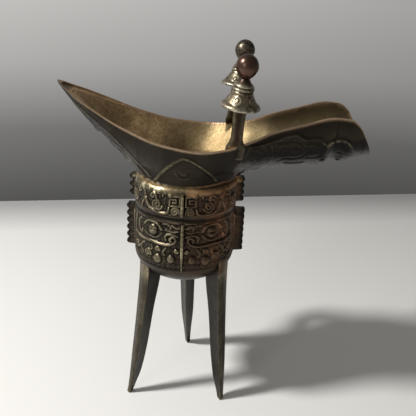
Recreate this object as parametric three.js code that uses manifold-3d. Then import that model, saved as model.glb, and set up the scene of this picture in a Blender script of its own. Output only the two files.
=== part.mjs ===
// A bronze jue: a tripod wine cup with a long pouring spout, a pointed tail and two capped posts.
// Millimetres. +X is the spout, -Y the front with two legs, +Y the handle side, +Z up.
// The whole vessel is one casting. Heights are above the floor, radii from the cup's axis.
import * as THREE from 'three';
import { mergeVertices } from 'three/addons/utils/BufferGeometryUtils.js';
import Module from 'manifold-3d';

const wasm = await Module();
wasm.setup();

// Cup
const CUP_RADIUS = 29;
const CUP_WALL = 2.6;
const BOWL_BOTTOM_Z = 77;
const BOWL_SHOULDER_Z = 95;
const BAND_Z = 122.5;
const BAND_HALF_HEIGHT = 1.5;
const BAND_DEPTH = 0.7;
// The wall ends in a rounded ledge, and the narrower neck stands on it
const SHOULDER_Z = 136.5;
const LEDGE_Z = 139.9;
const NECK_RADIUS = 26.4;
const NECK_SEAT_Z = 133;
const CUP_SEGMENTS = 32;
const HOLLOW_SEGMENTS = 20;

// Neck, spout and tail in side view: [x, z]
const TAIL_TIP_X = -71.5;
const SPOUT_TIP_X = 99.5;
const RIM_SIDE = [
  [TAIL_TIP_X, 188.4], [-65, 184.7], [-50.6, 177.8], [-28.5, 168.5], [-11, 163.6], [9, 161.7],
  [22, 163], [34, 166.3], [46.7, 171.8], [60.8, 176.2], [77.6, 180.5], [84.6, 179.9],
  [89, 177], [93.6, 169.5], [SPOUT_TIP_X, 158.6],
];
const UNDER_TAIL = [
  [TAIL_TIP_X, 186.8], [-65.3, 179], [-58.1, 170.2], [-50.7, 162.9], [-43.3, 156.3], [-36.6, 148.6],
  [-30, 142.5], [-25.6, 138],
];
const UNDER_SPOUT = [
  [26.5, 138], [33, 142.2], [38.7, 143.9], [46, 146.8], [56, 147.7], [66, 149.3], [75.3, 150.6], [78, 153.5],
  [81.2, 153.1], [83.6, 152.4], [87, 152.9], [91.5, 154.6], [SPOUT_TIP_X, 156.4],
];
// Height that the walls would reach if the mouth of the spout were not rounded off
const UNCUT_SPOUT_Z = 181.5;
const MOUTH_X = 77.6;

// Half width of the rim in plan view: [x, y]
const RIM_PLAN = [
  [TAIL_TIP_X, 0.7], [-69, 4.4], [-65, 8.2], [-58, 14], [-44.4, 20.2], [-28.5, 25.4], [-11, 30.6], [9, 33.6],
  [21.8, 30.4], [34, 25.2], [46.7, 22.4], [60.8, 21.8], [77.6, 21.5], [SPOUT_TIP_X, 20.5],
];
const LIP = 2.2;
// How full the sections of the tail and spout are: their walls rise from the keel this steeply
const FULLNESS = 2.4;

// Floor of the channel inside the tail and the spout: [x, z]
const TAIL_FLOOR = [
  [TAIL_TIP_X, 187.9], [-66, 184], [-59.7, 180], [-50, 169.5], [-36.9, 153.2], [-24.6, 139.5],
];
const SPOUT_FLOOR = [
  [24.6, 139.5], [35, 145.8], [46, 149.6], [60.8, 152], [78, 155.9], [SPOUT_TIP_X + 2, 159.2],
];
const SPOUT_STATIONS = [30, 35, 43, 52, 60, 68, 75.3, 78, 81.2, 84, 88, 91.5, 94, 96, 98];

// Legs: triangular blades, flat face outward and the ridge inward
const LEG_TOP_Z = 96;
const LEG_OUT = [[0, 35], [40, 32], [60, 30.4], [84, 28.2], [LEG_TOP_Z, 26]];
const LEG_HALF_WIDTH = [[0, 1.7], [12, 2.5], [30, 3.5], [56, 4.1], [84, 4.8], [LEG_TOP_Z, 5]];
const LEG_DEPTH = [[0, 3], [6, 4.2], [15, 6.4], [32, 8], [56, 9], [75, 11.2], [LEG_TOP_Z, 13]];
const LEG_ROWS = 10;
// The legs are not quite regular: each is shifted along X at its foot and at its top
const LEGS = [
  { azimuth: 213.3, extraSplay: 0, turn: 6, footShift: -1.5, topShift: 2.6 },
  { azimuth: 324.8, extraSplay: 0, turn: 6, footShift: -0.7, topShift: 1.2 },
  { azimuth: 87.5, extraSplay: 5.5, turn: 0, footShift: 0, topShift: -1.5 },
];

// Flanges: thin scalloped plates standing on the cup's wall
const FLANGE_THICKNESS = 2.4;
const FLANGE_ROOT = 27;
const FLANGES = [
  { azimuth: 180, bottom: 124.6, top: 138.6, reach: 32.4, scallops: 3, notch: 1.1 },
  { azimuth: 180, bottom: 93.4, top: 120.4, reach: 34, scallops: 7, notch: 1.1 },
  { azimuth: 0, bottom: 124.6, top: 140, reach: 33.2, scallops: 3, notch: 0.6 },
  { azimuth: 0, bottom: 93.4, top: 121, reach: 34.4, scallops: 7, notch: 0.6 },
  { azimuth: 271, bottom: 124.6, top: 138, reach: 31.6, scallops: 3, notch: 0.7 },
  { azimuth: 272, bottom: 91, top: 120.4, reach: 31.8, scallops: 7, notch: 0.7 },
];

// Posts, flush with the outside of the rim; the one at the back leans a little towards the tail
const POST_FOOT_Z = 156.5;
const POSTS = [
  { side: -1, footX: 26.2, cap: [27.65, 27, 184.9], ball: [29.7, 28.75, 204.8] },
  { side: 1, footX: 22.4, cap: [25.8, 27, 185.3], ball: [28.7, 28.8, 205.3] },
];
const POST_HALF = { along: 3.05, across: 2.3 };
const POST_INSET = 0.5;
// Scales of the half sizes at heights above the foot: flared where the post meets the rim, thin in the wall
const POST_FLARE = [[0, 1.35], [4, 1.6], [7, 1.7], [9.4, 1.28], [12, 1.03], [18, 1], [30.5, 1.15]];
const POST_ROOT = [[0, 0.45], [7, 1], [30.5, 1]];
const CAP_SEGMENTS = 12;
const CAP_RADIUS = 10.1;
const BALL_RADIUS = 5.7;
const BALL_HALF_HEIGHT = 6.2;

// Handle: a C-shaped strap with an animal's head at its top
const HANDLE_HALF_WIDTH = 3.2;
const HANDLE_HALF_THICKNESS = 2;
const HANDLE_PATH = [[26, 132], [37, 132.5], [44, 127], [45, 114], [41, 103.5], [33, 99.5], [26, 99]];
const HANDLE_STEPS = 14;

// Carving: strokes and bosses, in degrees round the wall from a ridge and heights above the floor
const WALL_STROKE = { width: 2.4, height: 1.1, root: 0.8 };
const SPIRALS = [
  { degrees: 28.5, z: 129.6, radius: 3.9, plain: false },
  { degrees: 9.5, z: 127.6, radius: 2.7, plain: false },
  { degrees: 62, z: 131, radius: 4.2, plain: true },
  { degrees: 8.5, z: 118.2, radius: 2.4, plain: false },
  { degrees: 45, z: 99.6, radius: 3.2, plain: true },
];
// Jaw with its curl, brow with its horn, ear beside the flange, square fret, and the neck of the dragon
const STROKES = [
  {
    plain: true,
    path: [[60, 107], [44, 106.6], [28, 107], [14, 107], [7.5, 108.4], [6, 110.8], [9.5, 112.8], [14, 111.6]],
  },
  { plain: true, path: [[14, 119.6], [30, 120], [46, 119.6], [57, 117], [56, 113], [49, 112.6]] },
  { plain: false, path: [[75, 119.5], [77, 110], [71, 101], [62, 96.5]] },
  { plain: false, path: [[13, 136], [5.5, 136], [5.5, 131.6], [13, 131.6], [13, 134]] },
  { plain: false, path: [[42, 137], [46.5, 133], [44, 128], [34, 125.4], [16, 125]] },
];
const BOSSES = [
  { degrees: 32, z: 115.6, radius: 3.6, plain: true },
  { degrees: 32, z: 135, radius: 2.4, plain: false },
  { degrees: 27, z: 98, radius: 2.8, plain: false },
  { degrees: 12, z: 98.2, radius: 2.5, plain: true },
];
const QUARTERS = [
  { azimuth: 270, turn: 1, plain: false },
  { azimuth: 270, turn: -1, plain: false },
  { azimuth: 90, turn: 1, plain: true },
  { azimuth: 90, turn: -1, plain: true },
];

// Strokes on each side of the neck, tail and spout: [x, z]
const UPPER_STROKE = { width: 2, height: 0.8, root: 1.5 };
// Leaf on the neck, leaf along the tail, the dragon's back along the spout, and its head at the mouth
const UPPER_STROKES = [
  [[-14.8, 142.7], [-9.5, 149], [-3, 155.2], [1, 157.4], [5.6, 156.2], [11, 151.6], [16.8, 143.4]],
  [[-18.3, 142.8], [-28.6, 153.9], [-39.2, 165.2], [-58.6, 178.6]],
  [[31.3, 157.3], [34.4, 163.4], [45, 166.8], [58, 171], [61.5, 169], [69, 169.4], [73.5, 166], [74, 160.5]],
  [[75.6, 163], [76.5, 167.2], [80.9, 168.6], [85, 167.6], [87.6, 162.6], [89.4, 158]],
];

const rad = THREE.MathUtils.degToRad;
const lerp = THREE.MathUtils.lerp;

// Smooth function through [x, y] points that never overshoots them
function through(points) {
  const slopes = points.slice(1).map(([x, y], i) => (y - points[i][1]) / (x - points[i][0]));
  const tangentAt = (i) => {
    if (i === 0) return slopes[0];
    if (i === slopes.length) return slopes[i - 1];
    const product = slopes[i - 1] * slopes[i];
    return product <= 0 ? 0 : (2 * product) / (slopes[i - 1] + slopes[i]);
  };
  const last = points.length - 2;
  return (x) => {
    const next = points.findIndex((point) => x < point[0]);
    const from = next < 0 ? last : Math.max(0, next - 1);
    const span = points[from + 1][0] - points[from][0];
    const t = THREE.MathUtils.clamp((x - points[from][0]) / span, 0, 1);
    const start = points[from][1] * (1 + 2 * t) * (1 - t) ** 2;
    const end = points[from + 1][1] * t * t * (3 - 2 * t);
    const bend = tangentAt(from) * t * (1 - t) ** 2 - tangentAt(from + 1) * t * t * (1 - t);
    return start + end + bend * span;
  };
}

// Manifold solid from a closed three.js geometry, turned inside out if its faces point inward
function solid(geometry) {
  const bare = geometry.clone();
  bare.deleteAttribute('normal');
  bare.deleteAttribute('uv');
  const merged = mergeVertices(bare, 1e-4);
  const corners = merged.index.array;
  const kept = [];
  for (let i = 0; i < corners.length; i += 3) {
    const [a, b, c] = corners.slice(i, i + 3);
    if (a !== b && b !== c && c !== a) kept.push(a, b, c);
  }
  const vertProperties = new Float32Array(merged.attributes.position.array);
  const make = (order) => new wasm.Manifold(new wasm.Mesh({
    numProp: 3,
    vertProperties,
    triVerts: new Uint32Array(order),
  }));
  const made = make(kept);
  return made.volume() >= 0 ? made : make(kept.reverse());
}

// Closed skin over rings of points, with flat ends
function loft(rings) {
  const count = rings[0].length;
  const index = [];
  for (let row = 0; row < rings.length - 1; row += 1) {
    for (let i = 0; i < count; i += 1) {
      const a = row * count + i;
      const b = row * count + ((i + 1) % count);
      index.push(a, b, b + count, a, b + count, a + count);
    }
  }
  const end = (rings.length - 1) * count;
  for (let i = 1; i < count - 1; i += 1) {
    index.push(0, i + 1, i);
    index.push(end, end + i, end + i + 1);
  }
  const geometry = new THREE.BufferGeometry();
  const position = rings.flat().flatMap((point) => [point.x, point.y, point.z]);
  geometry.setAttribute('position', new THREE.Float32BufferAttribute(position, 3));
  geometry.setIndex(index);
  return geometry;
}

// Lathe about +Z from [radius, z] points
function lathe(profile, segments) {
  const points = profile.map(([radius, z]) => new THREE.Vector2(radius, z));
  return new THREE.LatheGeometry(points, segments).rotateX(Math.PI / 2);
}

function join(solids) {
  return solids.reduce((whole, piece) => whole.add(piece));
}

const rimZ = through(RIM_SIDE);
const rimHalfWidth = through(RIM_PLAN);

// Section at x: on the neck it stands on a round seat, beyond it the two walls meet in a keel
function section(x, radius, seatZ, tail, spout, inset) {
  const footZ = through(x < 0 ? tail : spout)(x);
  const onNeck = Math.abs(x) < radius;
  return {
    x,
    radius,
    footZ,
    seatZ: onNeck ? seatZ : footZ,
    seatHalf: onNeck ? Math.sqrt(radius * radius - x * x) : 0,
    uncutZ: x > MOUTH_X ? UNCUT_SPOUT_Z : rimZ(x),
    half: Math.max(0.6, rimHalfWidth(x) - inset),
  };
}

function outerSection(x) {
  return section(x, NECK_RADIUS, NECK_SEAT_Z, UNDER_TAIL, UNDER_SPOUT, 0);
}

function innerSection(x) {
  return section(x, NECK_RADIUS - CUP_WALL, NECK_SEAT_Z - 2, TAIL_FLOOR, SPOUT_FLOOR, LIP);
}

// Half width at a share of the height: round and flared on the neck, running out into the tail and spout
function halfWidth({ x, radius, footZ, uncutZ, half }, share) {
  const along = Math.min(1, Math.abs(x) / (radius * (1 + 0.9 * share)));
  const neck = radius * (1 - along * along) ** (0.5 + Math.min(1, 3 * share));
  const power = THREE.MathUtils.clamp((FULLNESS * (uncutZ - footZ)) / half, 1.4, 3);
  const beyond = THREE.MathUtils.smoothstep(Math.abs(x), 0.5 * NECK_RADIUS, 1.6 * NECK_RADIUS);
  return neck + (half - neck) * lerp(share ** 1.35, 1 - (1 - share) ** power, beyond);
}

// Outside half width of the neck, tail and spout at x and z
function outerHalf(x, z) {
  const here = outerSection(x);
  return halfWidth(here, THREE.MathUtils.clamp((z - here.footZ) / (here.uncutZ - here.footZ), 0, 1));
}

// Side points of a section from its seat to height top
function wallPoints(here, top, steps) {
  const cut = (top - here.footZ) / (here.uncutZ - here.footZ);
  const wall = Array.from({ length: steps + 1 }, (_, i) => {
    const share = cut * (i / steps) ** 1.5;
    return new THREE.Vector3(here.x, halfWidth(here, share), lerp(here.footZ, here.uncutZ, share));
  });
  return [new THREE.Vector3(here.x, here.seatHalf, here.seatZ), ...wall];
}

function bothSides(points) {
  const far = [...points].reverse().map((point) => new THREE.Vector3(point.x, -point.y, point.z));
  return [...points, ...far];
}

function evenly(from, to, steps) {
  return Array.from({ length: steps }, (_, i) => lerp(from, to, (i + 1) / steps));
}

// Stations along X, closer together at the neck's ends and round the mouth of the spout
function stations(tailX, spoutX, radius) {
  const near = [0, 0.4, 0.68, 0.86, 0.96, 1].map((share) => share * radius);
  const neck = [...near.slice(1).reverse().map((x) => -x), ...near];
  const tail = evenly(-radius, tailX, 9).reverse();
  return [...tail, ...neck, ...SPOUT_STATIONS, spoutX];
}

// Outside of the neck with the tail and the spout, solid, its top following the rim
function upperForm() {
  const places = stations(TAIL_TIP_X, SPOUT_TIP_X, NECK_RADIUS);
  return solid(loft(places.map((x) => bothSides(wallPoints(outerSection(x), rimZ(x), 6)))));
}

// Hollow inside the neck, the tail and the spout, open at the top and at the mouth
function upperHollow() {
  const clear = 6;
  const rings = stations(TAIL_TIP_X + 2.5, SPOUT_TIP_X + 2, NECK_RADIUS - CUP_WALL).map((x) => {
    const here = innerSection(x);
    const side = wallPoints(here, here.uncutZ, 4);
    side.push(new THREE.Vector3(x, here.half, here.uncutZ + clear));
    return bothSides(side);
  });
  return solid(loft(rings));
}

// Round cup with its rounded bottom, a sunk band between the two carved registers and the shoulder
function cupProfile(offset) {
  const radius = CUP_RADIUS - offset;
  const bottom = BOWL_BOTTOM_Z + offset;
  const bowlSteps = 5;
  const bowl = Array.from({ length: bowlSteps + 1 }, (_, i) => {
    const angle = (Math.PI / 2) * (i / bowlSteps);
    return [radius * Math.sin(angle), BOWL_SHOULDER_Z - (BOWL_SHOULDER_Z - bottom) * Math.cos(angle)];
  });
  bowl[0][0] = 0;
  return bowl;
}

function cupForm() {
  const sunk = CUP_RADIUS - BAND_DEPTH;
  const profile = [
    ...cupProfile(0),
    [CUP_RADIUS, BAND_Z - BAND_HALF_HEIGHT],
    [sunk, BAND_Z - BAND_HALF_HEIGHT + 0.6],
    [sunk, BAND_Z + BAND_HALF_HEIGHT - 0.6],
    [CUP_RADIUS, BAND_Z + BAND_HALF_HEIGHT],
    [CUP_RADIUS, SHOULDER_Z],
    [CUP_RADIUS - 0.3, lerp(SHOULDER_Z, LEDGE_Z, 0.45)],
    [CUP_RADIUS - 1.2, LEDGE_Z - 0.6],
    [NECK_RADIUS - 0.4, LEDGE_Z],
    [0, LEDGE_Z],
  ];
  return solid(lathe(profile, CUP_SEGMENTS));
}

function cupHollow() {
  const radius = CUP_RADIUS - CUP_WALL;
  const profile = [
    ...cupProfile(CUP_WALL),
    [radius, SHOULDER_Z - 3],
    [NECK_RADIUS - CUP_WALL - 0.4, SHOULDER_Z + 1],
    [0, SHOULDER_Z + 1],
  ];
  return solid(lathe(profile, HOLLOW_SEGMENTS));
}

// One leg, from inside the bowl's wall down to its small flat foot
function leg({ azimuth, extraSplay, turn, footShift, topShift }) {
  const [out, half, depth] = [LEG_OUT, LEG_HALF_WIDTH, LEG_DEPTH].map(through);
  const place = new THREE.Matrix4().makeRotationZ(rad(azimuth));
  const twist = new THREE.Matrix4().makeRotationZ(rad(turn));
  const rings = Array.from({ length: LEG_ROWS + 1 }, (_, i) => {
    const z = LEG_TOP_Z * (i / LEG_ROWS) ** 1.2;
    const middle = out(z) - depth(z) / 2 + extraSplay * (1 - z / LEG_TOP_Z);
    const shift = new THREE.Vector3(lerp(footShift, topShift, z / LEG_TOP_Z), 0, 0);
    const corners = [[depth(z) / 2, -half(z)], [depth(z) / 2, half(z)], [-depth(z) / 2, 0]];
    return corners.map(([x, y]) => {
      const corner = new THREE.Vector3(x, y, 0).applyMatrix4(twist);
      return corner.add(new THREE.Vector3(middle, 0, z)).applyMatrix4(place).add(shift);
    });
  });
  return solid(loft(rings));
}

// One flange, its outer edge a row of shallow scallops
function flange({ azimuth, bottom, top, reach, scallops, notch }) {
  const outline = new THREE.Shape();
  const pitch = (top - bottom) / scallops;
  outline.moveTo(FLANGE_ROOT, bottom);
  for (let i = 0; i < scallops; i += 1) {
    const start = bottom + i * pitch;
    const corner = i === 0 ? 3 * notch : notch;
    outline.lineTo(reach - corner, start);
    outline.lineTo(reach, start + 0.25 * pitch);
    outline.lineTo(reach, start + 0.75 * pitch);
    outline.lineTo(reach - notch, start + pitch);
  }
  outline.lineTo(FLANGE_ROOT, top);
  const plate = new THREE.ExtrudeGeometry(outline, { depth: FLANGE_THICKNESS, bevelEnabled: false });
  plate.translate(0, 0, -FLANGE_THICKNESS / 2).rotateX(Math.PI / 2).rotateZ(rad(azimuth));
  return solid(plate);
}

// Point lifted off the wall of the cup, at an arc length from the edge of a quarter and a height
function onWall({ azimuth, turn }, arc, z, lift) {
  const radius = CUP_RADIUS + lift;
  const angle = rad(azimuth) + (turn * arc) / CUP_RADIUS;
  return new THREE.Vector3(radius * Math.cos(angle), radius * Math.sin(angle), z);
}

// Point lifted off the outside of the neck, tail or spout, on the side given by 1 or -1
function onUpper(side, x, z, lift) {
  const reach = 0.5;
  const half = outerHalf(x, z);
  const slopeX = (outerHalf(x + reach, z) - outerHalf(x - reach, z)) / (2 * reach);
  const slopeZ = (outerHalf(x, z + reach) - half) / reach;
  const out = new THREE.Vector3(-slopeX, 1, -slopeZ).normalize().multiplyScalar(lift);
  return new THREE.Vector3(x + out.x, side * (half + out.y), z + out.z);
}

// Raised stroke with a ridged back, along [u, v] points of a surface that place(u, v, lift) gives
function stroke(path, place, { width, height, root }) {
  const flat = path.map(([u, v]) => new THREE.Vector2(u, v));
  const rings = flat.map((point, i) => {
    const before = flat[Math.max(0, i - 1)];
    const after = flat[Math.min(flat.length - 1, i + 1)];
    const side = after.clone().sub(before).normalize().rotateAround(new THREE.Vector2(), Math.PI / 2);
    return [[-0.5, -root], [0, height], [0.5, -root]].map(([across, lift]) => {
      const at = point.clone().addScaledVector(side, across * width);
      return place(at.x, at.y, lift);
    });
  });
  return solid(loft(rings));
}

function wallStroke(path, quarter) {
  const unrolled = path.map(([degrees, z]) => [rad(degrees) * CUP_RADIUS, z]);
  return stroke(unrolled, (arc, z, lift) => onWall(quarter, arc, z, lift), WALL_STROKE);
}

function upperCarving() {
  const make = (side) => (path) => {
    const place = (x, z, lift) => onUpper(side, x, z, lift);
    return stroke(path, place, UPPER_STROKE);
  };
  return join([...UPPER_STROKES.map(make(-1)), ...UPPER_STROKES.map(make(1))]);
}

// Spiral stroke that winds inward
function spiral({ degrees, z, radius }, quarter) {
  const steps = 8;
  const path = Array.from({ length: steps + 1 }, (_, i) => {
    const angle = rad(200) + 2.6 * Math.PI * (i / steps);
    const reach = lerp(radius, 0.7, (i / steps) ** 0.9);
    const across = THREE.MathUtils.radToDeg((reach * Math.cos(angle)) / CUP_RADIUS);
    return [degrees + across, z + reach * Math.sin(angle)];
  });
  return wallStroke(path, quarter);
}

// Low round boss
function boss({ degrees, z, radius }, quarter) {
  const dome = lathe([[0, -1], [radius, -1], [radius * 0.86, 0.7], [radius * 0.45, 1.5], [0, 1.7]], 7);
  dome.rotateY(Math.PI / 2).rotateZ(rad(quarter.azimuth + quarter.turn * degrees));
  const centre = onWall(quarter, rad(degrees) * CUP_RADIUS, z, 0);
  return solid(dome.translate(centre.x, centre.y, centre.z));
}

// All the carving of one quarter; the two at the back are plainer
function carving(quarter) {
  const here = (items) => items.filter((item) => item.plain || !quarter.plain);
  return join([
    ...here(STROKES).map(({ path }) => wallStroke(path, quarter)),
    ...here(SPIRALS).map((item) => spiral(item, quarter)),
    ...here(BOSSES).map((item) => boss(item, quarter)),
  ]);
}

// Cap with its bell-shaped skirt, two rings and the egg-shaped ball above them: [radius, height]
function capProfile(ballHeight) {
  const lip = [[0, 1], [CAP_RADIUS - 0.8, 0], [CAP_RADIUS, 0.6]];
  const skirt = [[8, 2.6], [6.4, 4.8], [5.3, 7], [4.9, 8.4]];
  const rings = [[5.4, 8.8], [5.4, 9.8], [4.5, 10.2], [4.9, 10.7], [4.9, 11.5], [3.6, 12.2]];
  const ball = Array.from({ length: 8 }, (_, i) => {
    const angle = lerp(-0.37, 0.5, i / 7) * Math.PI;
    const taper = angle < 0 ? 1 + 0.18 * Math.sin(angle) : 1;
    return [BALL_RADIUS * Math.cos(angle) * taper, ballHeight + BALL_HALF_HEIGHT * Math.sin(angle)];
  });
  ball[7][0] = 0;
  return [...lip, ...skirt, ...rings, ...ball];
}

function cappedPost({ side, footX, cap, ball }) {
  const centre = new THREE.Vector3(cap[0], side * cap[1], cap[2]);
  const lean = new THREE.Vector3(ball[0], side * ball[1], ball[2]).sub(centre);
  const up = new THREE.Vector3(0, 0, 1);
  const tilt = new THREE.Quaternion().setFromUnitVectors(up, lean.clone().normalize());
  const bell = lathe(capProfile(lean.length()), CAP_SEGMENTS).applyQuaternion(tilt);
  bell.translate(centre.x, centre.y, centre.z);
  const [flare, root] = [POST_FLARE, POST_ROOT].map(through);
  const rings = POST_FLARE.map(([height]) => {
    const z = POST_FOOT_Z + height;
    const x = lerp(footX, cap[0], height / (cap[2] - POST_FOOT_Z));
    const along = POST_HALF.along * flare(height);
    const across = POST_HALF.across * root(height);
    const inWall = outerHalf(x, Math.min(z, rimZ(x))) - across - POST_INSET;
    const y = lerp(inWall, cap[1], THREE.MathUtils.smoothstep(z, rimZ(x) - 2, rimZ(x) + 12));
    return octagon(along, across).map((corner) => new THREE.Vector3(x + corner.x, side * y + corner.y, z));
  });
  return join([solid(loft(rings)), solid(bell)]);
}

// Corners of an eight-sided section with two half sizes
function octagon(along, across) {
  return Array.from({ length: 8 }, (_, i) => {
    const angle = (Math.PI / 4) * (i + 0.5);
    return new THREE.Vector2(1.08 * along * Math.cos(angle), 1.08 * across * Math.sin(angle));
  });
}

// Handle strap with the head, its ears and its muzzle
function handle() {
  const path = new THREE.CatmullRomCurve3(HANDLE_PATH.map(([y, z]) => new THREE.Vector3(0, y, z)));
  const rings = Array.from({ length: HANDLE_STEPS + 1 }, (_, i) => {
    const at = path.getPoint(i / HANDLE_STEPS);
    const along = path.getTangent(i / HANDLE_STEPS);
    const out = new THREE.Vector3(1, 0, 0).cross(along).normalize();
    const corners = octagon(HANDLE_HALF_WIDTH, HANDLE_HALF_THICKNESS);
    return corners.map(({ x, y }) => at.clone().addScaledVector(out, y).add(new THREE.Vector3(x, 0, 0)));
  });
  return join([solid(loft(rings)), head()]);
}

function head() {
  const skull = new THREE.SphereGeometry(1, 9, 5).scale(5.6, 5.2, 4.8).translate(0, 38, 134);
  const muzzle = new THREE.SphereGeometry(1, 7, 4).scale(4, 3.6, 4.2).translate(0, 42.6, 131);
  const ears = [-1, 1].map((side) => {
    const ear = new THREE.SphereGeometry(1, 6, 4).scale(1.7, 2.4, 3.4);
    return ear.rotateY(side * rad(35)).translate(side * 4.8, 35.5, 138.5);
  });
  return join([skull, muzzle, ...ears].map(solid));
}

function toMesh(name, whole) {
  const { vertProperties, triVerts } = whole.getMesh();
  const geometry = new THREE.BufferGeometry();
  geometry.setAttribute('position', new THREE.Float32BufferAttribute(vertProperties, 3));
  geometry.setIndex(Array.from(triVerts));
  const bronze = new THREE.MeshStandardMaterial({ color: 0x4b3d2a, roughness: 0.45, metalness: 0.85 });
  const mesh = new THREE.Mesh(geometry, bronze);
  mesh.name = name;
  return mesh;
}

const outside = join([
  cupForm(),
  upperForm(),
  ...LEGS.map(leg),
  ...FLANGES.map(flange),
  ...QUARTERS.map(carving),
  upperCarving(),
  handle(),
]);
const hollow = join([upperHollow(), cupHollow()]);
const vessel = join([outside.subtract(hollow), ...POSTS.map(cappedPost)]);

// The origin is on the floor, under the middle of the whole cup
const { min, max } = vessel.boundingBox();
const cup = toMesh('jue_cup', vessel);
cup.position.set(-(min[0] + max[0]) / 2, -(min[1] + max[1]) / 2, -min[2]);

const jue = new THREE.Group();
jue.add(cup);
export default jue;
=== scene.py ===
# A bronze jue, a tripod wine cup: the fine casting with its carving and patina.
# Sizes are millimetres from the cup's axis at the floor, and the mesh is put into metres in the frame.
import math

import bpy
import bmesh
import numpy as np
from mathutils import Matrix, Vector


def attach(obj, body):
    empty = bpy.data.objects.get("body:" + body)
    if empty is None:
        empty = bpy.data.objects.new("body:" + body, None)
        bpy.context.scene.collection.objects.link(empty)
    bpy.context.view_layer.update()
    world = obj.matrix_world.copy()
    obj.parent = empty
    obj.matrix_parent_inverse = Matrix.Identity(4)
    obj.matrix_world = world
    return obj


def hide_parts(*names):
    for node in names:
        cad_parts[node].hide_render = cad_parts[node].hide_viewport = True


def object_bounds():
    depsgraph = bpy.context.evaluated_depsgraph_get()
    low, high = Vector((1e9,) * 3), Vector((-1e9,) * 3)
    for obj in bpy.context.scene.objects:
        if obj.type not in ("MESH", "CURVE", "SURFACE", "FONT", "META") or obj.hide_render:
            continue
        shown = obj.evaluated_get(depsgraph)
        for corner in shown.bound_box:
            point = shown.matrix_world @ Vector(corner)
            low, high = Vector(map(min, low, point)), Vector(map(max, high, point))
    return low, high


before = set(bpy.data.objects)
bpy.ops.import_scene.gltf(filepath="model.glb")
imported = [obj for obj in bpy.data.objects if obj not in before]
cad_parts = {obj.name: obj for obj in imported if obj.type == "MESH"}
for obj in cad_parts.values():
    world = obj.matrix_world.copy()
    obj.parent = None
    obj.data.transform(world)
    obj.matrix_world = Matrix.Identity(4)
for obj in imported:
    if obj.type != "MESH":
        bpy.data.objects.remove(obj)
cad_box = [list(corner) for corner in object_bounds()]

MM = 0.001
NODE = "jue_cup"

# Cup
CUP_RADIUS = 29.0
CUP_WALL = 2.6
BOWL_BOTTOM_Z = 77.0
BOWL_SHOULDER_Z = 95.0
BAND_Z = 122.5
BAND_HALF_HEIGHT = 1.2
BAND_DEPTH = 0.5
SHOULDER_Z = 136.5
LEDGE_Z = 139.9
# Rounded edge of the shoulder: inward from the cup's radius, and up
SHOULDER_EDGE = [(0.08, 0.8), (0.35, 1.6), (0.8, 2.3), (1.4, 2.9)]
NECK_RADIUS = 26.4
NECK_SEAT_Z = 133.0

# Neck, spout and tail: side view [x, z] and plan view [x, half width]
TAIL_TIP_X = -71.5
SPOUT_TIP_X = 99.5
RIM_SIDE = [
    (TAIL_TIP_X, 188.4), (-65, 184.7), (-50.6, 177.8), (-28.5, 168.5), (-11, 163.6), (9, 161.7),
    (22, 163), (34, 166.3), (46.7, 171.8), (60.8, 176.2), (77.6, 180.5), (84.6, 179.9),
    (89, 177), (93.6, 169.5), (SPOUT_TIP_X, 158.6),
]
RIM_PLAN = [
    (TAIL_TIP_X, 0.7), (-69, 4.4), (-65, 8.2), (-58, 14), (-44.4, 20.2), (-28.5, 25.4), (-11, 30.6), (9, 33.6),
    (21.8, 30.4), (34, 25.2), (46.7, 22.4), (60.8, 21.8), (77.6, 21.5), (SPOUT_TIP_X, 20.5),
]
UNDER_TAIL = [
    (TAIL_TIP_X, 186.8), (-65.3, 179), (-58.1, 170.2), (-50.7, 162.9), (-43.3, 156.3), (-36.6, 148.6),
    (-30, 142.5), (-25.6, 138),
]
UNDER_SPOUT = [
    (26.5, 138), (33, 142.2), (38.7, 143.9), (46, 146.8), (56, 147.7), (66, 149.3), (75.3, 150.6), (78, 153.5),
    (81.2, 153.1), (83.6, 152.4), (87, 152.9), (91.5, 154.6), (SPOUT_TIP_X, 156.4),
]
# The tail's channel starts in a point behind a flat ledge
TAIL_FLOOR = [
    (TAIL_TIP_X, 187.9), (-66, 184), (-59.7, 180), (-50, 169.5), (-36.9, 153.2), (-24.6, 139.5),
]
SPOUT_FLOOR = [
    (24.6, 139.5), (35, 145.8), (46, 149.6), (60.8, 152), (78, 155.9), (SPOUT_TIP_X + 2, 159.2),
]
UNCUT_SPOUT_Z = 181.5
MOUTH_X = 77.6
LIP = 1.9
FULLNESS = 2.4

# Legs
LEG_TOP_Z = 96.0
LEG_OUT = [(0, 35), (40, 32), (60, 30.6), (80, 29.4), (90, 29.2), (LEG_TOP_Z, 28.4)]
LEG_HALF_WIDTH = [(0, 1.7), (12, 2.5), (30, 3.5), (56, 4.1), (84, 4.8), (LEG_TOP_Z, 5)]
LEG_DEPTH = [(0, 3), (6, 4.3), (15, 6.6), (32, 8.3), (56, 9.5), (75, 11.4), (LEG_TOP_Z, 13.4)]
# Azimuth, extra splay, turn, shifts along X at the foot and at the top, and breadth
LEGS = [(213.3, 0.0, 6.0, -1.5, 2.8, 1.0), (324.8, 0.0, 6.0, -0.7, 0.1, 1.0), (87.5, 5.5, 0.0, 0.0, -1.5, 1.2)]

# Flanges: azimuth, bottom, top, reach, scallops, notch, thickness, and height of the tapering foot
FLANGE_ROOT = 27.0
FLANGE_EDGE_CUT = 0.25
FLANGES = [
    (180, 124.6, 138.6, 32.6, 3, 1.9, 2.4, 0.8), (180, 93.4, 120.4, 34.2, 6, 1.2, 2.4, 1.2),
    (0, 124.6, 140.0, 33.2, 4, 0.8, 2.4, 0.8), (0, 93.4, 121.0, 34.4, 7, 0.35, 2.4, 1.6),
    (271, 124.6, 138.0, 31.6, 5, 0.2, 1.7, 1.0), (272, 91.0, 120.4, 31.8, 10, 0.2, 1.7, 14.0),
]

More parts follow.
